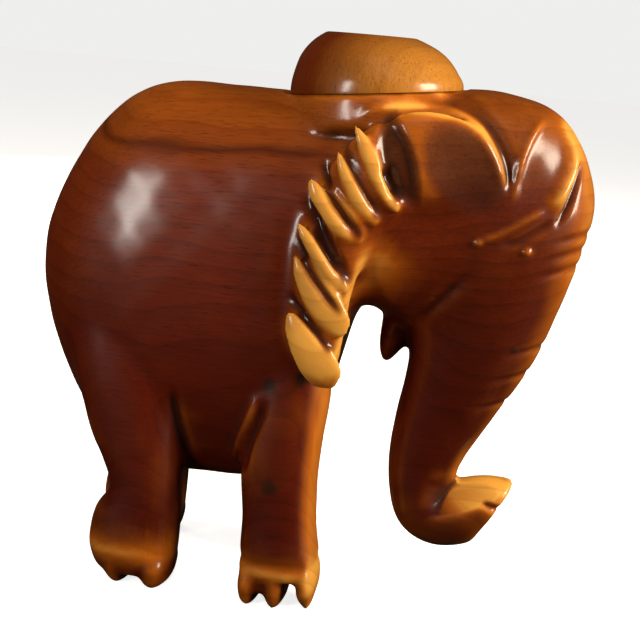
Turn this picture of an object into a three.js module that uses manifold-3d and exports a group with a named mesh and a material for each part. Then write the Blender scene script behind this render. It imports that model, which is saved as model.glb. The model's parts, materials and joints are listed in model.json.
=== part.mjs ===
// Carved wooden elephant with a turned candle holder on its neck.
// Millimetres, +Z up, head towards +X, origin at the bottom centre.
// Three separate wooden pieces: the carved body, the turned domed holder and the dowel between them.

import * as THREE from "three";
import { mergeVertices } from "three/addons/utils/BufferGeometryUtils.js";
import Module from "manifold-3d";

const wasm = await Module();
wasm.setup();

// ---- driving dimensions (mm) ----

const SHIFT_X = -1.2; // brings the middle of the overall length to x = 0

const BODY_HALF_WIDTH = 30;
const BACK_HEIGHT = 138;
const BELLY_HEIGHT = 28.5;

const LEG_SIDE = 20.5; // middle of a near leg from the plane of symmetry
const FAR_LEG_SIDE = 14.5; // the two left legs stand closer to the middle
const FRONT_STRIDE = -8; // the left legs are carved a little further back
const HIND_STRIDE = -8.6;

const EAR_FACE = 33.5; // outer face of the ear from the plane of symmetry
const EAR_THICK = 9;
const EAR_BEVEL = 1.6;
const EAR_TURN_IN = 0.0052; // how fast the ear follows the head inwards

const FAR_EAR_BACK = -8; // the left ear is set back with the left legs

const EYE_X = 58;
const EYE_Z = 110;

const HOLDER_X = 15.9; // middle of the holder's base on the neck
const HOLDER_Z = 139.5;
const SEAT_SLOPE = 6; // degrees, the neck rises towards the head
const HOLDER_RADIUS = 23;
const HOLDER_TOP = 154.2;
const SEAT_FILLET_DEPTH = 9; // how far the fillet round the seat runs down the neck
const SEAT_MARGIN = 0.4; // the flat of the seat is this much wider than the holder
const JOINT_GAP = 0.3;

const CANDLE_HOLE = 22.4; // takes a 22 mm household candle
const CANDLE_FLOOR_Z = 143.5;
const CANDLE_X = 13.4;
const CANDLE_MOUTH_WALL = 0.8; // the rim of the hole at the very top

const DOWEL_DIAMETER = 8;
const DOWEL_INTO_BODY = 12;
const DOWEL_INTO_HOLDER = 2.6;

const RINGS_PER_STATION = 2;
const ROUND_SIDES = 24;
const CLEARANCE = 2; // how far a cutting tool stands out of the wood it cuts

// ---- materials ----

function wood(name, color, roughness) {
  const material = new THREE.MeshStandardMaterial({ color, roughness, metalness: 0 });
  material.name = name;
  return material;
}

// ---- joining and cutting ----

function solid(geometry) {
  const bare = new THREE.BufferGeometry();
  const source = geometry.index ? geometry.toNonIndexed() : geometry;
  bare.setAttribute("position", source.getAttribute("position").clone());
  const merged = mergeVertices(bare, 1e-3);
  const positions = merged.getAttribute("position").array;
  return new wasm.Manifold(
    new wasm.Mesh({
      numProp: 3,
      vertProperties: new Float32Array(positions),
      triVerts: new Uint32Array(merged.index.array),
    }),
  );
}

function geometryOf(manifold) {
  const mesh = manifold.getMesh();
  const count = mesh.vertProperties.length / mesh.numProp;
  const positions = new Float32Array(count * 3);
  for (let i = 0; i < count; i++) {
    positions[3 * i] = mesh.vertProperties[i * mesh.numProp];
    positions[3 * i + 1] = mesh.vertProperties[i * mesh.numProp + 1];
    positions[3 * i + 2] = mesh.vertProperties[i * mesh.numProp + 2];
  }
  const geometry = new THREE.BufferGeometry();
  geometry.setAttribute("position", new THREE.BufferAttribute(positions, 3));
  geometry.setIndex(new THREE.BufferAttribute(new Uint32Array(mesh.triVerts), 1));
  return geometry;
}

function joined(parts) {
  let whole = parts[0];
  for (const part of parts.slice(1)) {
    whole = whole.add(part);
  }
  return whole;
}

// ---- shapes ----

function signedPower(value, power) {
  return Math.sign(value) * Math.abs(value) ** power;
}

// A closed body through a row of rounded-box sections. Each station is
// [x, y, z, tilt, across, along, squareness]: the middle of the section, the
// angle its outward direction dips below +X, its half size along Y, its half
// size in the other direction, and the exponent of its superellipse.
function loft(stations, sides) {
  const middle = [];
  const size = [];
  const lean = [];
  for (const [x, y, z, tilt, across, along, squareness] of stations) {
    middle.push(new THREE.Vector3(x, y, z));
    size.push(new THREE.Vector3(across, along, squareness));
    lean.push(new THREE.Vector3(tilt, 0, 0));
  }
  const path = new THREE.CatmullRomCurve3(middle, false, "catmullrom", 0.5);
  const sizes = new THREE.CatmullRomCurve3(size, false, "catmullrom", 0.5);
  const leans = new THREE.CatmullRomCurve3(lean, false, "catmullrom", 0.5);
  const rings = (stations.length - 1) * RINGS_PER_STATION + 1;
  const points = [];
  const faces = [];
  for (let i = 0; i < rings; i++) {
    const t = i / (rings - 1);
    const centre = path.getPoint(t);
    const { x: across, y: along, z: squareness } = sizes.getPoint(t);
    const angle = THREE.MathUtils.degToRad(leans.getPoint(t).x);
    const up = new THREE.Vector3(Math.sin(angle), 0, Math.cos(angle));
    for (let j = 0; j < sides; j++) {
      const turn = (2 * Math.PI * j) / sides;
      const side = across * signedPower(Math.cos(turn), 2 / squareness);
      const rise = along * signedPower(Math.sin(turn), 2 / squareness);
      points.push(centre.x + up.x * rise, centre.y + side, centre.z + up.z * rise);
    }
  }
  for (let i = 0; i < rings - 1; i++) {
    for (let j = 0; j < sides; j++) {
      const a = i * sides + j;
      const b = i * sides + ((j + 1) % sides);
      const c = a + sides;
      const d = b + sides;
      faces.push(a, b, d, a, d, c);
    }
  }
  const first = middle[0];
  const last = middle[middle.length - 1];
  const start = points.length / 3;
  points.push(first.x, first.y, first.z, last.x, last.y, last.z);
  const tail = (rings - 1) * sides;
  for (let j = 0; j < sides; j++) {
    const next = (j + 1) % sides;
    faces.push(start, next, j);
    faces.push(start + 1, tail + j, tail + next);
  }
  const geometry = new THREE.BufferGeometry();
  geometry.setAttribute("position", new THREE.Float32BufferAttribute(points, 3));
  geometry.setIndex(faces);
  return geometry;
}

// An ellipsoid whose long axis is turned by `turn` degrees in the side view
// and swung by `swing` degrees inwards.
function pebble(x, y, z, length, depth, width, turn, swing = 0, detail = 10) {
  const geometry = new THREE.SphereGeometry(1, detail, Math.max(6, detail - 4));
  geometry.rotateZ(Math.PI / 2);
  geometry.scale(length, depth, width);
  geometry.rotateY(THREE.MathUtils.degToRad(-turn));
  geometry.rotateZ(THREE.MathUtils.degToRad(swing));
  geometry.translate(x, y, z);
  return solid(geometry);
}

// ---- the carved body ----

function torso() {
  const top = BACK_HEIGHT;
  const low = BELLY_HEIGHT;
  const half = BODY_HALF_WIDTH;
  const middle = (top + low) / 2;
  const deep = (top - low) / 2;
  return loft(
    [
      [-72, 0, middle + 4, 0, half * 0.17, 5, 2],
      [-70.5, 0, middle + 3.5, 0, half * 0.45, 15, 2],
      [-66, 0, middle + 2, 0, half * 0.69, 27.5, 2.1],
      [-57.5, 0, middle + 1.7, 0, half * 0.88, 41.2, 2.2],
      [-47.5, 0, middle + 0.6, 0, half * 0.96, 51, 2.3],
      [-36, 0, middle, 0, half, deep, 2.35],
      [-20, 0, middle, 0, half, deep, 2.4],
      [-6, 0, middle + 1, 0, half * 0.99, deep - 1, 2.6],
      [6, 0, middle + 6, 0, half * 0.98, 48.5, 2.6],
      [15, 0, 107, 0, half * 0.93, 31.5, 2.5],
      [22, 0, 112.5, 0, half * 0.86, 27, 2.5],
    ],
    24,
  );
}

function headAndTrunk() {
  return loft(
    [
      [8, 0, 109, 0, 24, 27, 2.6],
      [24, 0, 112, 9, 26.5, 29, 2.8],
      [37, 0, 111.5, 22, 25.5, 33.4, 2.6],
      [47, 0, 107.5, 34, 22, 35, 2.3],
      [53.5, 0, 97.5, 48, 19.5, 30.4, 2.3],
      [53.5, 0, 89, 55, 17.5, 26.2, 2.3],
      [51.5, 0, 78.5, 64, 15.5, 21.7, 2.3],
      [48.5, 0, 66.5, 73, 13.5, 18.2, 2.3],
      [44, 0, 54.5, 80, 11.5, 14.4, 2.3],
      [40, 0, 42.5, 86, 10, 11, 2.3],
      [39, 0, 32.8, 75, 9.2, 9.2, 2.3],
      [41.2, 0, 27, 40, 9, 9.8, 2.3],
      [46.5, 0, 25, 12, 9, 9.8, 2.3],
      [54, 0, 27, 0, 8.8, 9.6, 2.3],
      [60.8, 0, 29.2, 29, 7.8, 9, 2.3],
    ],
    20,
  );
}

function lowerLip() {
  return loft(
    [
      [30, 0, 84, 70, 9, 7, 2],
      [28.2, 0, 76, 80, 7.5, 5.2, 2],
      [26.5, 0, 71, 90, 5.5, 3.2, 2],
      [25.5, 0, 66.2, 95, 2.6, 1.2, 2],
    ],
    14,
  );
}

function frontLeg(side, stride) {
  return loft(
    [
      [2 + stride, side * 0.7, 88, 90, 10, 10, 2.2],
      [2.8 + stride, side * 0.88, 62, 90, 11, 11, 2.5],
      [2 + stride, side * 0.98, 42, 90, 10, 10.6, 2.7],
      [3 + stride, side, 26, 90, 9.2, 10, 2.8],
      [3.8 + stride, side, 13, 90, 9.6, 10.6, 2.8],
      [4.2 + stride, side, 4, 90, 9.8, 11, 2.8],
      [4.4 + stride, side, 0, 90, 7.2, 9.4, 2.8],
    ],
    14,
  );
}

function hindLeg(side, stride) {
  return loft(
    [
      [-47 + stride * 0.4, side * 0.7, 90, 90, 12, 18, 2.2],
      [-43.6 + stride * 0.8, side * 0.85, 62, 90, 12, 15.4, 2.4],
      [-38.6 + stride, side * 0.95, 42, 90, 10.5, 12.9, 2.6],
      [-35.2 + stride, side, 28, 90, 9.4, 9.8, 2.7],
      [-36.6 + stride, side, 21, 90, 9.6, 11.4, 2.7],
      [-38 + stride, side, 12, 90, 10, 12.8, 2.7],
      [-37.8 + stride, side, 4, 90, 9.8, 10.8, 2.7],
      [-37.2 + stride, side, 0, 90, 7, 8.4, 2.7],
    ],
    14,
  );
}

// [place along the foot, height] of each tapering cut between two toes.
const FRONT_FOOT_X = 4.4;
const FRONT_TOE_CUTS = [
  [-4, 5.5],
  [4, 10],
];
const HIND_FOOT_X = -37;
const HIND_TOE_CUTS = [
  [1.4, 5],
  [-8.4, 4.6],
];

function toeCuts(x, outside, offsets, stride) {
  const cuts = [];
  for (const [along, high] of offsets) {
    cuts.push(pebble(x + along + stride, outside, -1, 2.4, 24, high, 0, 0, 8));
  }
  return cuts;
}

function earOutline() {
  const shape = new THREE.Shape();
  shape.moveTo(54, 119);
  shape.splineThru([
    new THREE.Vector2(49, 129),
    new THREE.Vector2(43, 134),
    new THREE.Vector2(34, 136.5),
    new THREE.Vector2(20, 135.5),
    new THREE.Vector2(12, 129),
    new THREE.Vector2(5.5, 118),
    new THREE.Vector2(2.5, 106),
    new THREE.Vector2(2, 92),
    new THREE.Vector2(4, 78),
    new THREE.Vector2(11, 66.5),
    new THREE.Vector2(16, 65),
  ]);
  shape.splineThru([
    new THREE.Vector2(18.5, 72),
    new THREE.Vector2(19.5, 84),
    new THREE.Vector2(20, 98),
    new THREE.Vector2(24, 107),
    new THREE.Vector2(37, 111),
    new THREE.Vector2(47, 113),
    new THREE.Vector2(54, 119),
  ]);
  return shape;
}

// How far the ear's outer face stands from the plane of symmetry at (x, z).
function earReach(x, z) {
  const forward = Math.max(0, x - 10);
  const low = Math.max(0, 80 - z);
  return EAR_FACE - EAR_TURN_IN * forward * forward - 0.006 * low * low - 0.05 * Math.max(0, z - 118);
}

function ear() {
  const plate = new THREE.ExtrudeGeometry(earOutline(), {
    depth: EAR_THICK - 2 * EAR_BEVEL,
    bevelThickness: EAR_BEVEL,
    bevelSize: EAR_BEVEL * 0.8,
    bevelOffset: -EAR_BEVEL * 0.8,
    bevelSegments: 2,
    curveSegments: 3,
  });
  plate.rotateX(Math.PI / 2);
  const position = plate.getAttribute("position");
  for (let i = 0; i < position.count; i++) {
    const reach = earReach(position.getX(i), position.getZ(i));
    position.setY(i, position.getY(i) + EAR_THICK - EAR_BEVEL - reach);
  }
  return solid(plate);
}

// [x, z, half length, half width, turn]: the ridges that run from the outer
// edge of the ear inwards and down.
const EAR_RIDGES = [
  [9.6, 74.8, 11.4, 4.2, -55],
  [10.8, 89.2, 12, 4, -54],
  [10.4, 98.9, 11.2, 2.3, -50],
  [12.8, 110.8, 10.4, 3.8, -46],
  [17.8, 116.8, 10.2, 2.8, -58],
  [22, 122, 12, 2.3, -59],
  [34, 124, 11, 1.7, -74],
];

function earRidges() {
  const ridges = [];
  for (const [x, z, length, width, turn] of EAR_RIDGES) {
    ridges.push(pebble(x, 0.6 - earReach(x, z), z, length, 2.2, width, turn, 6));
  }
  return ridges;
}

function earHollows() {
  return [
    pebble(27.6, -0.6 - earReach(27.6, 124.4), 124.4, 10, 1.8, 3.4, -68),
    pebble(43, -0.6 - earReach(43, 123), 123, 10.5, 2, 5.6, -52),
  ];
}

function browAndTemple() {
  return [
    pebble(60, -16.5, 124, 12, 5, 6.5, -68, 30),
    pebble(57, -18.5, 111.5, 8, 2.6, 2, 24, 28, 10),
    pebble(63.5, -14.5, 104.5, 5.5, 2.2, 1.6, 20, 34, 10),
  ];
}

function eyeCuts() {
  return [
    pebble(EYE_X + 1, -20.8, EYE_Z - 1.5, 6.5, 2.4, 1.7, 22, 28, 10),
    pebble(42, -25.5, 91, 8, 2.4, 1.6, 48, 14, 10),
  ];
}

function tail() {
  return loft(
    [
      [-64, 0, 112, 60, 3.6, 4, 2],
      [-69.4, 0, 98, 80, 3, 3.2, 2],
      [-71.3, 0, 84, 92, 2.4, 2.6, 2],
      [-67.2, 0, 68, 102, 2.2, 2.4, 2],
      [-62.4, 0, 56, 108, 2.8, 2.8, 2],
      [-58.2, 0, 47, 112, 1.4, 1.6, 2],
    ],
    10,
  );
}

function mirrored(manifold) {
  return manifold.mirror([0, 1, 0]);
}

// The raised ground the holder stands on, left proud of the neck and swept
// into it by a small hollow fillet.
function seatRing() {
  const r = HOLDER_RADIUS;
  const curve = new THREE.SplineCurve([
    new THREE.Vector2(r + 1.8, -SEAT_FILLET_DEPTH),
    new THREE.Vector2(r + 1.3, -5),
    new THREE.Vector2(r + 0.8, -2.2),
    new THREE.Vector2(r + 0.5, -JOINT_GAP),
  ]);
  const profile = [
    new THREE.Vector2(0, -SEAT_FILLET_DEPTH),
    ...curve.getPoints(5),
    new THREE.Vector2(0, -JOINT_GAP),
  ];
  const ring = new THREE.LatheGeometry(profile, 40);
  ring.rotateX(Math.PI / 2);
  return ring;
}

function leaned(geometry) {
  geometry.rotateY(THREE.MathUtils.degToRad(-SEAT_SLOPE));
  geometry.translate(HOLDER_X, 0, HOLDER_Z);
  return geometry;
}

function upright(radius, length, bottom, sides = ROUND_SIDES) {
  const cylinder = new THREE.CylinderGeometry(radius, radius, length, sides);
  cylinder.rotateX(Math.PI / 2);
  cylinder.translate(0, 0, bottom + length / 2);
  return cylinder;
}

function carvedBody() {
  const ears = joined([ear(), ...earRidges()]).subtract(joined(earHollows()));
  const face = joined(browAndTemple());
  let body = joined([
    solid(torso()),
    solid(headAndTrunk()),
    solid(lowerLip()),
    solid(frontLeg(-LEG_SIDE, 0)),
    solid(frontLeg(FAR_LEG_SIDE, FRONT_STRIDE)),
    solid(hindLeg(-LEG_SIDE, 0)),
    solid(hindLeg(FAR_LEG_SIDE, HIND_STRIDE)),
    solid(tail()),
    solid(leaned(seatRing())),
    ears,
    mirrored(ears).translate([FAR_EAR_BACK, 0, 0]),
    face,
    mirrored(face),
  ]);
  const eyes = joined(eyeCuts());
  body = body.subtract(eyes).subtract(mirrored(eyes));
  for (const cut of [
    ...toeCuts(FRONT_FOOT_X, -LEG_SIDE - 10, FRONT_TOE_CUTS, 0),
    ...toeCuts(FRONT_FOOT_X, FAR_LEG_SIDE + 10, FRONT_TOE_CUTS, FRONT_STRIDE),
    ...toeCuts(HIND_FOOT_X, -LEG_SIDE - 10, HIND_TOE_CUTS, 0),
    ...toeCuts(HIND_FOOT_X, FAR_LEG_SIDE + 10, HIND_TOE_CUTS, HIND_STRIDE),
  ]) {
    body = body.subtract(cut);
  }
  const seat = upright(HOLDER_RADIUS + SEAT_MARGIN, 30, -JOINT_GAP, 48);
  const mortiseBottom = -DOWEL_INTO_BODY - JOINT_GAP;
  const mortise = upright(DOWEL_DIAMETER / 2 + JOINT_GAP, CLEARANCE - mortiseBottom, mortiseBottom);
  return body.subtract(solid(leaned(seat))).subtract(solid(leaned(mortise)));
}

// ---- the turned holder ----

// Level round sections, whose middles drift back as they rise, are cut off
// below by the sloping seat. The candle hole and its mouth are upright.
function holder() {
  const mouth = CANDLE_HOLE / 2 + CANDLE_MOUTH_WALL;
  const dome = loft(
    [
      [CANDLE_X, 0, HOLDER_TOP, 90, mouth, mouth, 2],
      [13.75, 0, 153.4, 90, 13.4, 13.4, 2],
      [14.5, 0, 151.8, 90, 15.9, 15.9, 2],
      [15.1, 0, 149.7, 90, 18.6, 18.6, 2],
      [15.5, 0, 147.2, 90, 20.6, 20.6, 2],
      [15.8, 0, 144.5, 90, 21.9, 21.9, 2],
      [15.9, 0, 141.8, 90, 22.6, 22.6, 2],
      [16, 0, 137.5, 90, HOLDER_RADIUS, HOLDER_RADIUS, 2],
      [16.1, 0, 132, 90, HOLDER_RADIUS, HOLDER_RADIUS, 2],
    ],
    48,
  );
  const candle = upright(CANDLE_HOLE / 2, 40, CANDLE_FLOOR_Z, 40);
  candle.translate(CANDLE_X, 0, 0);
  const socket = upright(DOWEL_DIAMETER / 2 + JOINT_GAP, DOWEL_INTO_HOLDER + CLEARANCE, -CLEARANCE);
  const underSeat = upright(HOLDER_RADIUS + 12, 20, -20);
  return solid(dome)
    .subtract(solid(leaned(underSeat)))
    .subtract(solid(candle))
    .subtract(solid(leaned(socket)));
}

function dowel() {
  const length = DOWEL_INTO_BODY + DOWEL_INTO_HOLDER - JOINT_GAP;
  return solid(leaned(upright(DOWEL_DIAMETER / 2, length, -DOWEL_INTO_BODY)));
}

// ---- the assembly ----

const elephant = new THREE.Group();
elephant.name = "carved_elephant";

function place(name, manifold, material) {
  const mesh = new THREE.Mesh(geometryOf(manifold), material);
  mesh.name = name;
  mesh.position.x = SHIFT_X;
  elephant.add(mesh);
}

place("carved_body", carvedBody(), wood("carved_wood", 0x7a3512, 0.35));
place("candle_holder", holder(), wood("turned_wood", 0xa85f22, 0.3));
place("dowel", dowel(), wood("dowel_wood", 0xc9a26a, 0.7));

export default elephant;
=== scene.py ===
# %% [markdown]
# # A carved wooden elephant, built as a lesson in surfaces and wood
#
# The object is a small hand-carved elephant with a domed, turned candle holder
# on its neck. The body was whittled from one block, rasped, sanded and then
# lacquered until it shines, so its forms are soft, its cuts are V-shaped and
# its colour runs from almost black-red in the cuts to honey on the high spots.
#
# This script loads the measured frame first. The frame is never moved: the
# surfaces made here stand in for two of its solids and must stay in its box.

# %% Load the frame
import json
import math

import bpy
import numpy as np
from mathutils import Matrix, Vector

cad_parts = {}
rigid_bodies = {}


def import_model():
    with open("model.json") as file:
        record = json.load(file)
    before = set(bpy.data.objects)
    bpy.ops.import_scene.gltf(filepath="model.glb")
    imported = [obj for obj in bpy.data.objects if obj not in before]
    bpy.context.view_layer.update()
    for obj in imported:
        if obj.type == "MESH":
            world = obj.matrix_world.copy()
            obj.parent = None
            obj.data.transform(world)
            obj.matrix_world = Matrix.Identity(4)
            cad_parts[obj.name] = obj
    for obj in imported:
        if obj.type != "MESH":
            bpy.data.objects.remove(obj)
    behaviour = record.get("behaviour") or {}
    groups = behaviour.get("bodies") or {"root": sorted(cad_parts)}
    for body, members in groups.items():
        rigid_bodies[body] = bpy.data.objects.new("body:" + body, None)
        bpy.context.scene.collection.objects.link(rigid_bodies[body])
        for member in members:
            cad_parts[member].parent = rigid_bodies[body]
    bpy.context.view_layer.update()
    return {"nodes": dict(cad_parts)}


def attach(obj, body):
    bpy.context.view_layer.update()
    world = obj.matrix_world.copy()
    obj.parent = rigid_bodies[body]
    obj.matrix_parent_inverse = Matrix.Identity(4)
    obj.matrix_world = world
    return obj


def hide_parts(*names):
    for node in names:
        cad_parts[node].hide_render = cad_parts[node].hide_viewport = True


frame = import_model()

# %% [markdown]
# ## Working units
#
# A carver thinks in millimetres, so every shape is worked out in millimetres.
# The carver's own zero is a little off the middle of the block, and one shift
# brings it to the frame's origin.

# %% Units and the shift to the frame's origin
MM = 0.001
TO_MIDDLE = -1.2  # mm, from the carver's zero to the middle of the overall length

# %% [markdown]
# ## Lofting: a form through a row of sections
#
# A body, a leg and a trunk are all the same kind of shape: a soft, slightly
# boxy outline that changes its size and direction along a path. One formula
# does the whole grid at once, so a form is a short table that is easy to adjust.

# %% Smooth tables and lofted grids
def flow(rows, count):
    """Smooth in-between rows: a uniform Catmull-Rom curve through the table's
    rows, sampled at `count` even steps of the row number."""
    rows = np.asarray(rows, float)
    padded = np.vstack([2 * rows[0] - rows[1], rows, 2 * rows[-1] - rows[-2]])
    step = np.linspace(0, len(rows) - 1, count)
    k = np.minimum(step.astype(int), len(rows) - 2)
    t = (step - k)[:, None]
    a, b, c, d = padded[k], padded[k + 1], padded[k + 2], padded[k + 3]
    return b + 0.5 * t * (c - a + t * (2 * a - 5 * b + 4 * c - d + t * (3 * (b - c) + d - a)))


def loft(rows, rings, sides):
    """Points and faces of a closed form. Each row is x, y, z, dip, across,
    along, squareness. A section is a superellipse square to a direction that
    dips `dip` degrees below +X. Both ends are closed by a fan."""
    table = flow(rows, rings)
    turn = np.linspace(0, 2 * np.pi, sides, endpoint=False)[None, :]
    across, along, square = (table[:, i, None] for i in (4, 5, 6))
    side = across * np.sign(np.cos(turn)) * np.abs(np.cos(turn)) ** (2 / square)
    rise = along * np.sign(np.sin(turn)) * np.abs(np.sin(turn)) ** (2 / square)
    dip = np.radians(table[:, 3, None])
    x, y, z = (table[:, i, None] for i in (0, 1, 2))
    grid = np.stack([x + np.sin(dip) * rise, y + side, z + np.cos(dip) * rise], -1)
    points = np.vstack([grid.reshape(-1, 3), table[0, :3], table[-1, :3]])
    i, j = np.meshgrid(np.arange(rings - 1), np.arange(sides), indexing="ij")
    a, b = i * sides + j, i * sides + (j + 1) % sides
    quads = np.stack([a, b, b + sides, a + sides], -1).reshape(-1, 4)
    j = np.arange(sides)
    after, last = (j + 1) % sides, (rings - 1) * sides
    start, end = rings * sides, rings * sides + 1
    first_fan = np.stack([np.full(sides, start), after, j], -1)
    last_fan = np.stack([np.full(sides, end), last + j, last + after], -1)
    return points, quads.tolist() + first_fan.tolist() + last_fan.tolist()


def make_piece(name, forms):
    """One mesh object in metres from a list of (points, faces) in millimetres."""
    points, faces, base = [], [], 0
    for form_points, form_faces in forms:
        points.append(form_points)
        faces += [[base + v for v in face] for face in form_faces]
        base += len(form_points)
    co = (np.vstack(points) + [TO_MIDDLE, 0, 0]) * MM
    mesh = bpy.data.meshes.new(name)
    mesh.from_pydata(co.tolist(), [], faces)
    mesh.update()
    piece = bpy.data.objects.new(name, mesh)
    bpy.context.scene.collection.objects.link(piece)
    return piece


# %% [markdown]
# ## The block-out
#
# The carver saws the silhouette first: a deep barrel with a high rump, a head
# that hangs low and runs straight on into the trunk, and four short legs. The
# barrel runs from tail to chest, and the head and trunk are one long form that
# turns downwards and curls forward at the tip.

# %% Barrel, head and trunk
BARREL = [
    [-71.8, 0, 88.3, 0, 4.4, 4.6, 2],
    [-70.3, 0, 87.6, 0, 13.5, 14.6, 2],
    [-65.8, 0, 86, 0, 20.7, 26.8, 2.1],
    [-57.5, 0, 84.8, 0, 26.4, 41.2, 2.2],
    [-47.5, 0, 83.7, 0, 28.8, 51, 2.3],
    [-36, 0, 83.2, 0, 30, 54.7, 2.3],
    [-20, 0, 83.2, 0, 30, 54.7, 2.35],
    [-6, 0, 84.2, 0, 29.7, 53.7, 2.5],
    [6, 0, 89.2, 0, 29.2, 48.2, 2.5],
    [15, 0, 107.2, 0, 27.2, 31, 2.4],
    [22, 0, 112.5, 0, 25.4, 27, 2.5],
]
HEAD_AND_TRUNK = [
    [8, 0, 109, 0, 24, 27, 2.6],
    [24, 0, 112, 9, 26, 29, 2.7],
    [37, 0, 111.5, 22, 25, 33.3, 2.5],
    [47, 0, 107.5, 34, 22, 34.8, 2.3],
    [53.5, 0, 97.5, 48, 19.5, 30.4, 2.3],
    [53.5, 0, 89, 55, 17.5, 26.2, 2.3],
    [51.5, 0, 78.5, 64, 15.5, 21.7, 2.3],
    [48.5, 0, 66.5, 73, 13.5, 18.2, 2.3],
    [44, 0, 54.5, 80, 11.5, 14.4, 2.3],
    [40, 0, 42.5, 86, 10, 11, 2.3],
    [39, 0, 32.8, 75, 9.2, 9.2, 2.3],
    [41.2, 0, 27, 40, 9, 9.8, 2.3],
    [46.5, 0, 25, 12, 9, 9.8, 2.3],
    [54, 0, 27, 0, 8.8, 9.6, 2.3],
    [60.8, 0, 29.2, 29, 7.8, 9, 2.3],
]
LIP = [
    [30.4, 0, 84, 70, 9, 7, 2],
    [28.3, 0, 76, 80, 7.5, 5.2, 2],
    [26.5, 0, 70.6, 90, 5.5, 3.2, 2],
    [25.4, 0, 66, 95, 2.2, 1, 2],
]
TAIL = [
    [-64, 0, 112, 60, 3.6, 4, 2],
    [-69.4, 0, 98, 80, 3, 3.2, 2],
    [-70.4, 0, 84, 92, 2.4, 2.6, 2],
    [-66.4, 0, 68, 102, 2.2, 2.4, 2],
    [-61.8, 0, 56, 108, 2.8, 2.8, 2],
    [-57.8, 0, 47, 112, 1.4, 1.6, 2],
]
forms = [loft(BARREL, 90, 96), loft(HEAD_AND_TRUNK, 150, 80), loft(LIP, 24, 32), loft(TAIL, 60, 24)]

# %% [markdown]
# ## Legs and toes
#
# Each leg swells gently into its foot, and the carver splits the foot into
# blunt toes with a V-tool that runs right under the sole. So a toe is made as
# its own short post under the leg, with real air between one and the next.
# The elephant is in mid-stride: its left legs stand further back.

# %% Legs and toes
NEAR, FAR = -20.5, 14.5  # mm, middle of the right and left legs
STRIDE = {"front": -8, "hind": -8.6}  # mm, how far back the left legs stand
FRONT_LEG = [
    [2, 0.7, 88, 90, 10, 10, 2.2],
    [2.8, 0.88, 62, 90, 11, 11, 2.4],
    [2, 0.98, 42, 90, 10, 10.6, 2.6],
    [3, 1, 26, 90, 9.2, 10, 2.7],
    [3.9, 1, 15, 90, 9.6, 10.7, 2.8],
    [4.1, 1, 11, 90, 9.8, 10.9, 2.8],
    [4.3, 1, 8.6, 90, 9, 10.4, 2.6],
]
HIND_LEG = [
    [-47, 0.7, 90, 90, 12, 18, 2.2],
    [-43.4, 0.85, 62, 90, 12, 15, 2.4],
    [-38.2, 0.95, 42, 90, 10.5, 12.4, 2.6],
    [-35.1, 1, 28, 90, 9.4, 9.6, 2.6],
    [-36.9, 1, 20.8, 90, 9.6, 11.9, 2.5],
    [-37.8, 1, 12, 90, 10, 12.5, 2.5],
    [-37.5, 1, 7, 90, 9.4, 11.8, 2.5],
    [-37.2, 1, 3.9, 90, 8.4, 10.6, 2.4],
    [-37.1, 1, 3.1, 90, 7.2, 9.4, 2.3],
]
# Each toe: middle x, half width, how pointed it is, and where its post starts.
FRONT_TOES = [(-3.1, 3.2, 0.1, 12), (4.2, 3.1, 0.2, 15), (12.6, 2.7, 0.9, 15)]
HIND_TOES = [(-30.4, 4.6, 0.1, 9), (-41, 4.4, 0.3, 9)]
# The short web behind the first cleft: middle x and lower edge.
FRONT_WEB_X, FRONT_WEB_LOW = 0.5, 4.2
KNEE, HIP = 42, 90  # mm, heights between which a set-back leg rejoins the body


def leg(rows, side, stride, follow):
    """The leg's table with its side factor turned into a y, and its lower
    stations moved back by the stride, less so near the hip."""
    rows = np.array(rows, float)
    rows[:, 1] *= side
    rise = np.clip((rows[:, 2] - KNEE) / (HIP - KNEE), 0, 1)
    rows[:, 0] += stride * (1 - follow * rise)
    return loft(rows, 60, 48)


def toe(x, side, half, point, top):
    """A blunt post: full width at the cleft, rounded in to its tip at z = 0.
    `point` goes from 0, a broad tip, to 1, a claw."""
    broad = 1 - 0.45 * point
    rows = [
        [x, side, top, 90, 8, half * 0.8, 2.2],
        [x, side, 7, 90, 9.6 - 0.8 * point, half, 2.5],
        [x, side, 3.4, 90, 9.2 * (1 - 0.25 * point), half * (0.96 - 0.2 * point), 2.4],
        [x + 0.4 * point, side, 1.2, 90, 8.4 * broad, half * 0.8 * broad, 2.2],
        [x + 0.6 * point, side, -0.3, 90, 6.6 * broad, half * 0.42 * broad, 2],
    ]
    return loft(rows, 20, 28)


for side, share in ((NEAR, 0), (FAR, 1)):
    forms.append(leg(FRONT_LEG, side, STRIDE["front"] * share, 0))
    forms.append(leg(HIND_LEG, side, STRIDE["hind"] * share, 0.6))
    for toes, step in ((FRONT_TOES, STRIDE["front"]), (HIND_TOES, STRIDE["hind"])):
        forms += [toe(x + step * share, side, *shape) for x, *shape in toes]
    web_x = FRONT_WEB_X + STRIDE["front"] * share
    web = [[web_x, side, 12, 90, 8.6, 4, 2.4], [web_x, side, FRONT_WEB_LOW, 90, 8.2, 3.4, 2.2]]
    forms.append(loft(web, 6, 24))

# %% [markdown]
# ## The ground for the holder
#
# The carver leaves a low round boss on the neck and pares it flat for the
# holder. The flat rises by six degrees towards the head, as the neck does.

# %% Boss under the holder
LEAN = 6.0  # degrees
HOLDER_BASE = np.array([15.9, 0.0, 139.5])
HOLDER_UP = np.array([-math.sin(math.radians(LEAN)), 0.0, math.cos(math.radians(LEAN))])
HOLDER_RADIUS = 23.0


def on_axis(height, radius):
    """A round section square to the line that stands on the flat."""
    x, y, z = HOLDER_BASE + HOLDER_UP * height
    return [x, y, z, -90 - LEAN, radius, radius, 2]


boss = [on_axis(-9, 24.6), on_axis(-5, 24.2), on_axis(-2, 23.8), on_axis(0.4, 23.5)]
forms.append(loft(boss, 16, 96))

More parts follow.
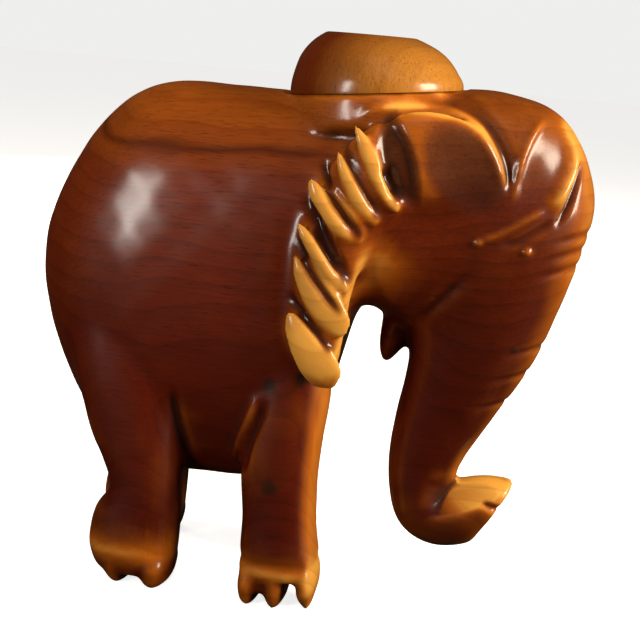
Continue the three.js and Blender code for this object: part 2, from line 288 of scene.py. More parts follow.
# %% [markdown]
# ## Ears
#
# The ear is a raised crescent that starts at the shoulder, sweeps up over the
# neck and ends in a point above the eye. It is lofted along its own spine and
# bent to lie on the curve of the cheek, and it melts into the body with the
# other forms. The leaf-shaped ribs on it are laid on later, to stay crisp.

# %% Ear crescents
EAR_FACE = 33.4  # mm, the ear's face from the middle of the body
EAR_HALF_THICK = 4.2
LEFT_EAR_BACK = -8.0  # mm, the left ear is set back with the left legs
EAR_SPINE = [
    # x, y, z, dip, half thickness, half width, squareness
    [16, 0, 64.6, -108, 1.6, 1.2, 2],
    [13.8, 0, 71, -104, 3.8, 4.4, 2.4],
    [12.2, 0, 81, -93, 4.0, 6.9, 2.6],
    [12.2, 0, 93, -88, 4.0, 7.9, 2.6],
    [14.6, 0, 107, -66, 4.0, 8.8, 2.6],
    [21, 0, 118.6, -40, 4.2, 11, 2.8],
    [31, 0, 124.8, -6, 4.2, 11.6, 3],
    [42, 0, 123.6, 24, 4.2, 10.2, 2.8],
    [49.6, 0, 120.2, 37, 3.8, 6.0, 2.4],
    [55.2, 0, 117.2, 42, 1.6, 1.2, 2],
]


def ear_reach(x, z):
    """Distance of the ear's face from the middle of the body: full at the
    shoulder, falling with the square of the distance forwards, and a little
    towards the lower tip and the crown."""
    forward, low = np.maximum(0, x - 10), np.maximum(0, 80 - z)
    return EAR_FACE - 0.0052 * forward**2 - 0.006 * low**2 - 0.05 * np.maximum(0, z - 118)


def on_ear(shape, side):
    """Lay a shape drawn round the side plane on the ear: each point's distance
    from the middle grows by the reach of the ear at its x and z."""
    points, faces = shape[0].copy(), shape[1]
    points[:, 1] -= ear_reach(points[:, 0], points[:, 2]) - EAR_HALF_THICK
    if side > 0:
        points[:, 1] *= -1
        points[:, 0] += LEFT_EAR_BACK
        faces = [face[::-1] for face in faces]
    return points, faces


crescent = loft(EAR_SPINE, 110, 40)
forms += [on_ear(crescent, -1), on_ear(crescent, 1)]
print("forms to fuse:", len(forms))

# %% [markdown]
# ## Fusing the forms
#
# Overlapping closed forms become one skin with a voxel remesh, the same step a
# sculptor takes before refining. A few rounds of relaxing then melt the joints
# the way a rasp and sandpaper do.

# %% Fuse and relax
def evaluated(piece):
    """The piece's mesh with its modifiers worked out, put back into the piece."""
    view = bpy.context.evaluated_depsgraph_get()
    mesh = bpy.data.meshes.new_from_object(piece.evaluated_get(view))
    piece.modifiers.clear()
    old, piece.data = piece.data, mesh
    bpy.data.meshes.remove(old)
    return mesh


def fuse(piece, voxel):
    """One closed skin round everything in the piece, on a grid of `voxel` mm."""
    remesh = piece.modifiers.new("fuse", "REMESH")
    remesh.mode = "VOXEL"
    remesh.voxel_size = voxel * MM
    return evaluated(piece)


def read(mesh, what="co"):
    """Vertex places in the carver's millimetres, or unit normals."""
    values = np.empty(len(mesh.vertices) * 3, np.float32)
    if what == "co":
        mesh.vertices.foreach_get("co", values)
        return values.reshape(-1, 3).astype(float) / MM - [TO_MIDDLE, 0, 0]
    mesh.vertex_normals.foreach_get("vector", values)
    return values.reshape(-1, 3).astype(float)


def write(mesh, points):
    """Put places in the carver's millimetres back into the mesh."""
    mesh.vertices.foreach_set("co", ((points + [TO_MIDDLE, 0, 0]) * MM).astype(np.float32).ravel())
    mesh.update()


def edges_of(mesh):
    pairs = np.empty(len(mesh.edges) * 2, np.int32)
    mesh.edges.foreach_get("vertices", pairs)
    return pairs.reshape(-1, 2)


def neighbour_mean(points, pairs):
    """The mean of each vertex's neighbours, by adding both ends of every edge."""
    count = np.bincount(pairs.ravel(), minlength=len(points))[:, None]
    total = np.zeros_like(points)
    for near, far in (pairs.T, pairs.T[::-1]):
        for i in range(points.shape[1]):
            total[:, i] += np.bincount(near, points[far, i], len(points))
    return total / np.maximum(count, 1)


def soften(points, pairs, rounds, amount):
    """Move every vertex part of the way to its neighbours' mean, which also
    fills the corners between forms. `amount` may be one for each vertex."""
    for _ in range(rounds):
        points = points + amount * (neighbour_mean(points, pairs) - points)
    return points


def ease(value, low, high):
    """0 below low, 1 above high, and a smooth S between."""
    t = np.clip((value - low) / (high - low), 0, 1)
    return t * t * (3 - 2 * t)


COARSE_GRID, FINE_GRID = 0.8, 0.6  # mm, before and after the ribs are laid on

body = make_piece("carved_elephant", forms)
mesh = fuse(body, COARSE_GRID)
points = read(mesh)
pairs = edges_of(mesh)
melt = 0.5 * ease(points[:, 2], 6, 16) + 0.06
points = soften(points, pairs, 14, melt[:, None])
write(mesh, points)
print("fused body:", len(mesh.vertices), "vertices")

# %% [markdown]
# ## Tools for carving
#
# A carver has two strokes: the V-tool or gouge that follows a line, and the
# flat chisel that takes off everything above a plane. Both are written as
# formulas on all vertices at once. Lines are given in the side view, and the
# same line is cut on both sides of the animal.

# %% Strokes, dishes and flats
def side_view(points, ear=False):
    """Side-view places of the vertices. The left ear is set back, so for ear
    work its vertices are read as if it stood level with the right one."""
    flat = points[:, [0, 2]].copy()
    if ear:
        flat[:, 0] -= np.where(points[:, 1] > 0, LEFT_EAR_BACK, 0)
    return flat


def along_line(flat, line):
    """Distance from every place to the nearest point of a line, and how far
    along the line that point is, from 0 to 1."""
    line = flow(line, 12 * (len(line) - 1) + 1)
    length = np.concatenate([[0], np.cumsum(np.linalg.norm(np.diff(line, axis=0), axis=1))])
    best, where = np.full(len(flat), 1e9), np.zeros(len(flat))
    for a, b, start, end in zip(line[:-1], line[1:], length[:-1], length[1:]):
        t = np.clip(((flat - a) @ (b - a)) / max(1e-9, (b - a) @ (b - a)), 0, 1)
        d = np.linalg.norm(flat - a - t[:, None] * (b - a), axis=1)
        closer = d < best
        best[closer], where[closer] = d[closer], (start + t * (end - start))[closer] / length[-1]
    return best, where


def stroke(flat, line, width, taper):
    """A rounded V along a line: 1 on the line, falling as a bell of the given
    half width, and fading out over the first and last part of the line."""
    distance, where = along_line(flat, np.asarray(line, float))
    fade = ease(where, 0, taper) * ease(1 - where, 0, taper)
    return np.exp(-((distance / width) ** 2)) * fade


def strokes(flat, table):
    """All the strokes of a table of (height, half width, taper, line)."""
    return sum(height * stroke(flat, line, width, taper) for height, width, taper, line in table)


def dish(flat, x, z, half_length, half_width, turn, rim=0.75):
    """A shallow oval bowl: 1 in the middle and 0 at its edge. The rim's share
    of the radius makes it soft or steep."""
    angle = math.radians(turn)
    across = flat - [x, z]
    u = (across[:, 0] * math.cos(angle) + across[:, 1] * math.sin(angle)) / half_length
    v = (across[:, 1] * math.cos(angle) - across[:, 0] * math.sin(angle)) / half_width
    return ease(1.1 - np.hypot(u, v), 0, rim)


def on_side(points, start, full):
    """1 where a vertex is well out to the side of the body, 0 in the middle."""
    return ease(np.abs(points[:, 1]), start, full)


# %% [markdown]
# ## Ribs on the ears
#
# A fan of leaf-shaped ribs crosses each crescent, wide in the middle and drawn
# out to a point at both ends. Where the crescent's front edge meets the neck
# the carver has left no step at all, so that edge is melted first.

# %% Melt the front edge of the ear and lay on the ribs
EAR_FRONT = [(17.5, 66), (19.6, 80), (21, 95), (26, 108.5), (36, 113.4), (46, 113.8), (53, 115)]
# Ribs: middle x and z, half length, half width, height, and turn of the long axis.
EAR_RIBS = [
    (9.9, 74.8, 11.6, 5.2, 1.5, -55),
    (11, 89.2, 12.2, 4.5, 1.5, -54),
    (10.8, 98.9, 11.2, 2.5, 1.4, -50),
    (13, 110.8, 10.2, 4.1, 1.5, -46),
    (18, 116.8, 10.4, 3.0, 1.4, -58),
    (22.2, 122, 12, 2.5, 1.4, -59),
]
RIB_ROWS = 9
RIB_REACH = 0.985  # how near to s = -1 and s = 1 the first and last rows lie


def rib(x, z, half_length, half_width, height, turn):
    """A leaf from s = -1 to s = 1: its half width follows (1 - s ** 2) ** 0.5,
    broader towards the inner end, where it sinks into the ear."""
    s = np.linspace(-RIB_REACH, RIB_REACH, RIB_ROWS)
    swell = (1 - s**2) ** 0.5
    place = s + 0.12 * (1 - s**2)
    angle = math.radians(turn)
    columns = [
        x + place * half_length * math.cos(angle),
        -EAR_HALF_THICK + 0.2 + 1.0 * ease(s, 0.1, 1),
        z + place * half_length * math.sin(angle),
        np.full(len(s), -turn),
        height * swell,
        half_width * swell * (1 + 0.15 * s),
        np.full(len(s), 2.2),
    ]
    return loft(np.stack(columns, -1), 40, 28)


def join(piece, other):
    """Put the other piece's faces into the piece and drop the other."""
    both = [piece, other]
    with bpy.context.temp_override(active_object=piece, object=piece, selected_editable_objects=both):
        bpy.ops.object.join()


flat = side_view(points, ear=True)
step, _ = along_line(flat, EAR_FRONT)
melt = 0.5 * np.exp(-((step / 5.5) ** 4)) * on_side(points, 8, 14)
points = soften(points, pairs, 110, melt[:, None])
write(mesh, points)
ribs = make_piece("ribs", [on_ear(rib(*shape), side) for side in (-1, 1) for shape in EAR_RIBS])
join(body, ribs)
mesh = fuse(body, FINE_GRID)
points, pairs = read(mesh), edges_of(mesh)
points = soften(points, pairs, 2, 0.5)
write(mesh, points)
print("body with ribs:", len(points), "vertices")

# %% [markdown]
# ## Carving the ear
#
# The ear's back edge is set off from the shoulder by a soft, wide cut, and
# between each rib and the next a V-tool has gone deep. The two panels between
# the upper ribs are hollowed, and a raised border runs over the top of the ear
# to its point.

# %% Ear cuts
EAR_OUTLINE = [(13, 61.5), (6, 68), (1.8, 79), (0.6, 92), (1.2, 104), (3.8, 115)]
EAR_TOP = [(20, 136), (30, 137.4), (39, 136.6), (45.6, 133), (50.2, 126.6), (54.4, 118.4)]
EAR_BORDER = [(14.6, 132.4), *EAR_TOP]
# Panels: middle x and z, half length, half width, turn, depth.
EAR_PANELS = [(27.4, 124.4, 12, 4.2, -68, 1.6), (43.4, 123.4, 13.5, 8.6, -50, 1.1)]
PANEL_RIMS = (0.5, 0.9)  # share of the radius
RIB_CLEFTS = [
    # height, half width, taper, line
    (-1.2, 0.8, 0.3, [(1.8, 88.6), (8.2, 83), (16, 74.6)]),
    (-1.3, 0.9, 0.3, [(3, 104), (8.2, 95.4), (17.6, 84.6)]),
    (-2.3, 1.6, 0.3, [(3.6, 114), (9.6, 105.8), (18.6, 92)]),
    (-2.1, 1.2, 0.3, [(7, 123), (12.2, 114.4), (20.6, 104)]),
    (-1.5, 0.9, 0.3, [(12.6, 128), (18.8, 118.6), (25, 109.4)]),
    (-2.0, 1.5, 0.3, [(24.4, 124), (26.6, 119), (28.6, 114)]),
]

flat = side_view(points, ear=True)
outward = on_side(points, 12, 18)
panel_shapes = zip(EAR_PANELS, PANEL_RIMS)
panels = sum(depth * dish(flat, *shape, rim=rim) for (*shape, depth), rim in panel_shapes)
ear_work = 0.9 * stroke(flat, EAR_BORDER, 1.5, 0.12) - 0.4 * stroke(flat, EAR_OUTLINE, 2.4, 0.3)
ear_work += strokes(flat, RIB_CLEFTS) - panels

# %% [markdown]
# ## Carving the head
#
# Two cuts meet in a V between the crown and the ear. In front of them a broad
# leaf-shaped flat is pared on the temple, edged by a bright ridge and a deep
# cleft beside the forehead. A thin brow line slants over the eye, which is only
# a slit and a bead, and a crease runs from the cheek to the corner of the mouth.

# %% Head cuts
TEMPLE_LEAF = (62.2, 124.6, 13.5, 6.2, 76)
TEMPLE_RIDGE = [(64.4, 137.4), (68.2, 131.4), (69.2, 124.6), (65.2, 114.2)]
HEAD_STROKES = [
    # Crown, edge and ridge of the temple, forehead cleft, brow, eye slit, cheek crease.
    (-1.5, 1.6, 0.15, [(33, 140.6), (42, 138.6), (48.6, 133.6), (53, 126.8), (55.4, 117.4)]),
    (0.7, 0.9, 0.2, [(61.2, 138), (58, 131.6), (56.2, 124), (55.6, 115.6)]),
    (1.5, 1.5, 0.2, TEMPLE_RIDGE),
    (-1.3, 0.9, 0.25, [(70.8, 131), (70.9, 124), (69.2, 116), (66.4, 110)]),
    (0.7, 0.8, 0.2, [(47.6, 105), (53, 107.8), (58, 111), (64.4, 115.4)]),
    (-0.8, 0.9, 0.25, [(53, 104.6), (59, 107), (66.6, 112.6)]),
    (-1.1, 1.7, 0.4, [(49.5, 99), (44, 93.5), (38, 86), (33, 79.5)]),
]
BEADS = [(48.2, 105.2), (60.5, 103.9)]  # the end of the brow, and the eye

flat = side_view(points)
head_work = strokes(flat, HEAD_STROKES) - 0.5 * dish(flat, *TEMPLE_LEAF)
head_work += 0.8 * sum(dish(flat, x, z, 1.4, 1.2, 30) for x, z in BEADS)
head_work *= on_side(points, 4, 11)

# Wrinkles run across the front of the trunk, square to its direction.
WRINKLE_DEPTH, WRINKLE_WIDTH = 0.38, 0.75  # mm
UPPER_WRINKLES = [(74.6, 107.5, 56), (73.4, 103, 57), (71.8, 98.2, 58)]  # x, z, dip of the trunk
LOWER_WRINKLES = [(65.4, 76, 66), (61.6, 68, 70), (57.4, 59.6, 75)]
for x, z, dip in UPPER_WRINKLES + LOWER_WRINKLES:
    angle = math.radians(dip)
    offset = (points[:, 0] - x) * math.cos(angle) - (points[:, 2] - z) * math.sin(angle)
    front = (points[:, 0] - x) * math.sin(angle) + (points[:, 2] - z) * math.cos(angle)
    bend = offset + 0.012 * points[:, 1] ** 2
    head_work -= WRINKLE_DEPTH * np.exp(-((bend / WRINKLE_WIDTH) ** 2)) * ease(front, -9, -2)

# The nostrils are two small hollows under the curl's tip, beside a notch.
NOSTRIL_Y, NOSTRIL_Z, NOSTRIL_RADIUS = 2.8, 29, 1.5
NOTCH = [(62.4, 30.4), (59.4, 31), (56, 32.4)]
nostril = np.hypot(np.abs(points[:, 1]) - NOSTRIL_Y, (points[:, 2] - NOSTRIL_Z) * 0.8)
head_work -= 1.3 * np.exp(-((nostril / NOSTRIL_RADIUS) ** 2)) * ease(points[:, 0], 57, 59.5)
head_work -= 0.9 * stroke(flat, NOTCH, 0.8, 0.35)
print("deepest ear and head cuts, mm:", round(-ear_work.min(), 2), round(-head_work.min(), 2))

# %% [markdown]
# ## Carving the flanks and feet
#
# The skin folds where a leg meets the belly, so each joint gets one cut and
# one raised edge. The feet flare over a shallow ring cut, and the tail is
# outlined so that it reads as lying on the rump.

# %% Flank, foot and tail cuts
FLANK_STROKES = [
    # Fold of the belly, the cut beside it, front of the thigh, fold of the rump.
    (1.3, 1.6, 0.3, [(-3.4, 62), (-5.4, 54), (-8.6, 45), (-11.5, 36)]),
    (-1.5, 1.3, 0.25, [(-1.6, 60), (-3.2, 53), (-5.6, 45), (-7.4, 36)]),
    (-1.4, 1.4, 0.3, [(-27.4, 60), (-26.6, 52), (-25, 44), (-23, 35)]),
    (0.5, 2.2, 0.4, [(-52, 52), (-49, 44), (-45.4, 36)]),
]
RING_HEIGHT = 13.2  # mm, of the cut over each front foot
TAIL_EDGE = 4.1  # mm, from the middle to the line cut beside the tail

stance = points.copy()
left = points[:, 1] > 0
stance[:, 0] -= np.where(left, np.where(points[:, 0] > -14, STRIDE["front"], STRIDE["hind"]), 0)
flank_work = strokes(side_view(stance), FLANK_STROKES) * on_side(points, 12, 18) * (1 - 0.8 * left)
front_foot = (points[:, 0] < 22) * (points[:, 0] > -20)
ring = np.exp(-(((points[:, 2] - RING_HEIGHT) / 1.8) ** 2)) * front_foot
flank_work -= 0.45 * ring
tail_side = np.abs(np.abs(points[:, 1]) - TAIL_EDGE)
tail_part = (points[:, 0] < -55) * ease(points[:, 2], 44, 54) * ease(118 - points[:, 2], 0, 10)
flank_work -= 0.8 * np.exp(-((tail_side / 0.9) ** 2)) * tail_part

# Knife and rasp leave the big surfaces very slightly uneven.
x, y, z = points.T
uneven = np.sin(x * 0.31 + 1.7 * np.sin(z * 0.11)) * np.sin(z * 0.23 + y * 0.17 + 0.6)
uneven += 0.6 * np.sin(x * 0.57 + y * 0.4 + 2.1) * np.sin(z * 0.49 - 0.9)

normals = read(mesh, "normals")
work = ear_work * outward + head_work + flank_work + 0.06 * uneven * ease(z, 12, 30)
points = points + normals * work[:, None]

# %% [markdown]
# ## Flat seat, flat soles and the curl's facets
#
# Two places are pared truly flat: the boss under the holder, and the soles,
# which all lie on the ground. Everything beyond the plane is brought down to
# it. The curl of the trunk gets two sloping flats in the same way.

# %% Pare the seat and the soles
SEAT_GAP = 0.06  # mm of glue under the holder


def pare(points, foot, up, where):
    """Bring every vertex beyond the plane through `foot`, square to `up`, back
    onto the plane, where the mask is true."""
    beyond = (points - foot) @ up
    return points - np.where((beyond > 0) & where, beyond, 0)[:, None] * up


offset = points - HOLDER_BASE
from_axis = np.linalg.norm(offset - (offset @ HOLDER_UP)[:, None] * HOLDER_UP, axis=1)
seat = HOLDER_BASE - SEAT_GAP * HOLDER_UP
points = pare(points, seat, HOLDER_UP, from_axis < HOLDER_RADIUS + 1.5)
points = pare(points, np.zeros(3), np.array([0, 0, -1.0]), points[:, 2] < 3)

# A flat is also pared on each side of the curl's top. It starts in a rounded
# scoop against the trunk and runs out to nothing at the tip.
CURL_RIDGE = np.array([46, -0.6, 36.2])
CURL_EDGE = np.array([47, -9, 26.6])
CURL_TIP = np.array([64, -3.6, 38.6])
curl_up = np.cross(CURL_EDGE - CURL_RIDGE, CURL_TIP - CURL_RIDGE)
curl_up = curl_up / np.linalg.norm(curl_up)
over_ridge = points[:, 2] - CURL_RIDGE[2] - 0.13 * (points[:, 0] - CURL_RIDGE[0])
scoop = ease(points[:, 0], 40.5, 45.5) * ease(-over_ridge, -2.6, 0.4)
for half in (-1, 1):
    mirror = np.array([1, -half, 1])
    beyond = np.clip((points * mirror - CURL_RIDGE) @ curl_up, 0, 3) * (points[:, 1] * half > 0)
    points = points - (beyond * scoop)[:, None] * curl_up * mirror
points = soften(points, pairs, 1, 0.33)
points = soften(points, pairs, 1, -0.3)  # the way back, so that only bumps go
points[:, 2] = np.maximum(points[:, 2], 0)
write(mesh, points)
print("carved body box, mm:", points.min(0).round(1), points.max(0).round(1))

# %% [markdown]
# ## The mortise, and a lighter mesh
#
# A hole is drilled in the seat for the dowel. Then the skin, which is equally
# dense everywhere after the remesh, is thinned where it is smooth and keeps
# its density in the cuts.

# %% Drill the mortise and thin the skin
MORTISE_RADIUS = 4.3
MORTISE_DEPTH = 12.3
TRIANGLES_KEPT = 185000
bit = [on_axis(-MORTISE_DEPTH, MORTISE_RADIUS), on_axis(4, MORTISE_RADIUS)]
drill = make_piece("drill", [loft(bit, 2, 40)])
hole = body.modifiers.new("mortise", "BOOLEAN")
hole.operation, hole.object, hole.solver = "DIFFERENCE", drill, "EXACT"
thin = body.modifiers.new("thin", "DECIMATE")
thin.ratio = min(1.0, TRIANGLES_KEPT / (2 * len(mesh.polygons)))
mesh = evaluated(body)
bpy.data.objects.remove(drill)
mesh.shade_smooth()
points, pairs = read(mesh), edges_of(mesh)
print("body:", len(mesh.polygons), "faces")

# %% [markdown]
# ## Wear, painted light and painted shade
#
# Raised edges of a handled carving are rubbed lighter. Painted light lightens
# a few more places, and painted shade darkens the cuts and hollows. The mesh
# itself says which is which: where the smoothed surface lies under the real one
# the wood stands proud, and where it lies above, the wood is cut in. Both go
# into the mesh as named values.

# %% Height of every vertex over the smoothed form
def proud(points, normals, pairs, rounds):
    """How far each vertex stands over the surface left by smoothing."""
    return -((soften(points, pairs, rounds, 0.6) - points) * normals).sum(1)


def keep_value(mesh, name, values):
    layer = mesh.attributes.new(name, "FLOAT", "POINT")
    layer.data.foreach_set("value", values.astype(np.float32))


def smooth_out(values, pairs):
    """Each value replaced, twice over, by the mean of its neighbours."""
    return neighbour_mean(neighbour_mean(values[:, None], pairs), pairs)[:, 0]


normals = read(mesh, "normals")
fine, broad = proud(points, normals, pairs, 4), proud(points, normals, pairs, 40)
high = ease(fine, 0.02, 0.16) * 0.4 + ease(broad, 0.15, 1.1) * 0.4
# Cuts and hollows: this mask darkens them as painted shade.
low = ease(-fine, 0.02, 0.14) * 0.5 + ease(-broad, 0.12, 0.9) * 0.7
# The ear's panels and the clefts between its ribs are darkened. The carver
# sanded the ribs and the neck behind them back to the bare honey. The temple
# ridge, a band round each foot and the upward-facing flat of the curl are
# painted honey as painted highlights, and surfaces facing right at the front are
# lightened as painted light from the right.
NECK_GLOW = [(18, 66), (20, 78), (21.4, 88), (24, 97), (29, 104)]
PANEL_BAR = [(31.6, 136), (33.8, 125), (37, 113)]
flat = side_view(points, ear=True)
outward = on_side(points, 16, 22)
panel_dark = 0.8 * dish(flat, *EAR_PANELS[0][:5], rim=0.4) + 0.65 * dish(flat, *EAR_PANELS[1][:5], rim=0.4)
panel_dark += 0.8 * sum(stroke(flat, line, 1.0, 0.1) for *_, line in RIB_CLEFTS)
bare = 1.1 * sum(dish(flat, x, z, 1.1 * a, 1.25 * b, turn) for x, z, a, b, _, turn in EAR_RIBS)
bare += 0.72 * stroke(flat, NECK_GLOW, 6.4, 0.15) + 0.3 * stroke(flat, PANEL_BAR, 1.3, 0.2)
bare += 0.95 * stroke(flat, EAR_TOP, 1.7, 0.08) - 0.8 * dish(flat, *EAR_PANELS[1][:5], rim=0.4)
low += outward * panel_dark
high += outward * bare
flat = side_view(points)
# Painted highlight: the temple ridge is painted honey.
high += 0.7 * stroke(flat, TEMPLE_RIDGE, 2, 0.1)
# Painted light: the upward-facing flat on top of the curl is painted honey.
high += 1.3 * dish(flat, 52.5, 34, 15, 6.5, 6) * ease(normals[:, 2], 0.3, 0.55)
# Painted highlight: a honey band round each foot, where the flare turns up.
high += 0.65 * np.exp(-(((points[:, 2] - 11) / 3.2) ** 2)) * (points[:, 0] < 24)
# Painted light: surfaces facing right at the front are lightened, as if lit from the right.
high += 0.6 * ease(normals[:, 0] + 0.2 * normals[:, 2], 0.5, 0.95) * ease(points[:, 0], -2, 8)
high -= low
keep_value(mesh, "rubbed_and_lit", smooth_out(np.clip(high, 0, 1), pairs))
keep_value(mesh, "cut_in", smooth_out(np.clip(low, 0, 1), pairs))
print("share rubbed, share cut in:", round(float(high.mean()), 3), round(float(low.mean()), 3))

body.name = body.data.name = "carved_elephant"
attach(body, "root")
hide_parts("carved_body")

# %% [markdown]
# ## The turned holder
#
# A turner makes this on a lathe: a squat dome with a soft shoulder and a hole
# for one household candle. Its foot is sawn on a slope to sit on the neck, and
# the dome was then rasped so that it drifts back a little as it rises, while
# the hole stays upright. As a surface it is one row of sections, up the
# outside, over the lip and down the bore, closed under the foot round the
# dowel's socket.

# %% Turned holder
CANDLE_RADIUS = 11.2
CANDLE_X = 13.4
CANDLE_FLOOR = 143.5
SOCKET_RADIUS, SOCKET_DEPTH = 4.3, 2.6
# The dome's wall: middle x, height, slope of the section, radius.
DOME = [
    (15.85, 140.9, 5.0, 22.95),
    (15.8, 142.4, 3.6, 22.65),
    (15.75, 144.0, 2.0, 22.1),
    (15.65, 145.6, 0.6, 21.4),
    (15.5, 147.2, 0, 20.6),
    (15.25, 148.9, 0, 19.4),
    (14.95, 150.4, 0, 18.0),
    (14.5, 151.8, 0, 16.2),
    (14.0, 152.8, 0, 14.5),
    (13.7, 153.4, 0, 13.3),
    (CANDLE_X, 153.8, 0, 12.4),
    (CANDLE_X, 154.0, 0, 11.8),
    (CANDLE_X, 153.9, 0, 11.35),
]


def level(height, radius):
    """A round section on the upright axis of the candle hole."""
    return [CANDLE_X, 0, height, -90, radius, radius, 2]


under = [
    on_axis(SOCKET_DEPTH, 0.05),
    on_axis(SOCKET_DEPTH, SOCKET_RADIUS - 0.3),
    on_axis(SOCKET_DEPTH - 0.2, SOCKET_RADIUS),
    on_axis(0.3, SOCKET_RADIUS),
    on_axis(0, SOCKET_RADIUS + 0.3),
    on_axis(0, 12),
    on_axis(0, HOLDER_RADIUS - 0.3),
]
outside = [on_axis(0.03, HOLDER_RADIUS - 0.1), on_axis(0.15, HOLDER_RADIUS)]
outside += [[x, 0, z, -90 - slope, radius, radius, 2] for x, z, slope, radius in DOME]
bore = [level(z, CANDLE_RADIUS) for z in (152.5, 148, CANDLE_FLOOR + 0.4)]
bore += [level(CANDLE_FLOOR + 0.05, CANDLE_RADIUS - 0.2), level(CANDLE_FLOOR, CANDLE_RADIUS - 0.7)]
bore += [level(CANDLE_FLOOR, 5), level(CANDLE_FLOOR, 0.05)]
profile = under + outside + bore
holder = make_piece("turned_holder", [loft(profile, 6 * (len(profile) - 1) + 1, 128)])
holder.data.shade_smooth()
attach(holder, "root")
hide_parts("candle_holder")
print("holder:", len(holder.data.polygons), "faces, top at mm", round(max(r[2] for r in profile), 1))

# %% [markdown]
# ## Wood: rings, fibre and pores
#
# A block of wood is a stack of cones round the pith. Every cut shows the rings
# as lines, and the pale outer sapwood as one broad zone with a thin dark edge.
# So the pattern is made in the solid, from the distance to the pith, and the
# carving simply reveals it. The effect is one node group that all three woods
# share, each with its own pith.

# %% Helpers for node trees
def new_group(name, inputs, outputs):
    """An empty shader group. The inputs are (name, type); outputs are floats."""
    group = bpy.data.node_groups.new(name, "ShaderNodeTree")
    sockets = [("INPUT", *item) for item in inputs] + [("OUTPUT", item, "Float") for item in outputs]
    for way, socket_name, kind in sockets:
        group.interface.new_socket(socket_name, in_out=way, socket_type="NodeSocket" + kind)
    return group, group.nodes.new("NodeGroupInput"), group.nodes.new("NodeGroupOutput")


def feed(tree, socket, value):
    """Link a socket, or set a plain value."""
    if isinstance(value, bpy.types.NodeSocket):
        tree.links.new(value, socket)
    elif value is not None:
        socket.default_value = value


def maths(tree, operation, a, b=None, c=None, clamp=False):
    node = tree.nodes.new("ShaderNodeMath")
    node.operation, node.use_clamp = operation, clamp
    for socket, value in zip(node.inputs, (a, b, c)):
        feed(tree, socket, value)
    return node.outputs[0]


def vector_maths(tree, operation, a, b=None):
    node = tree.nodes.new("ShaderNodeVectorMath")
    node.operation = operation
    feed(tree, node.inputs[0], a)
    feed(tree, node.inputs[1], b)
    return node.outputs["Value" if operation in ("LENGTH", "DOT_PRODUCT", "DISTANCE") else "Vector"]


def noise(tree, vector, scale, detail=2.0, rough=0.5):
    node = tree.nodes.new("ShaderNodeTexNoise")
    feed(tree, node.inputs["Vector"], vector)
    for socket, value in (("Scale", scale), ("Detail", detail), ("Roughness", rough)):
        feed(tree, node.inputs[socket], value)
    return node.outputs["Fac"]


def ramp(tree, value, *stops):
    """A straight-line ramp through (place, grey or colour) stops."""
    node = tree.nodes.new("ShaderNodeValToRGB")
    feed(tree, node.inputs[0], value)
    elements = node.color_ramp.elements
    while len(elements) < len(stops):
        elements.new(1.0)
    for element, (place, colour) in zip(elements, stops):
        element.position = place
        element.color = (colour,) * 3 + (1,) if isinstance(colour, (int, float)) else (*colour, 1)
    return node.outputs["Color"]


def mix(tree, share, a, b, way="MIX"):
    node = tree.nodes.new("ShaderNodeMix")
    node.data_type, node.blend_type = "RGBA", way
    for socket, value in zip((node.inputs[0], node.inputs[6], node.inputs[7]), (share, a, b)):
        if isinstance(value, tuple) and len(value) == 3:
            value = (*value, 1)
        feed(tree, socket, value)
    return node.outputs[2]


def use_group(tree, group, values):
    """Run a group on the named values, and give its outputs."""
    node = tree.nodes.new("ShaderNodeGroup")
    node.node_tree = group
    for name, value in values.items():
        feed(tree, node.inputs[name], value)
    return node.outputs


# %% Growth rings as a group
GRAIN_INPUTS = [("Pith", "Vector"), ("Across", "Vector")]
GRAIN_INPUTS += [(name, "Float") for name in ("Ring width", "Sap radius", "Sap spread")]


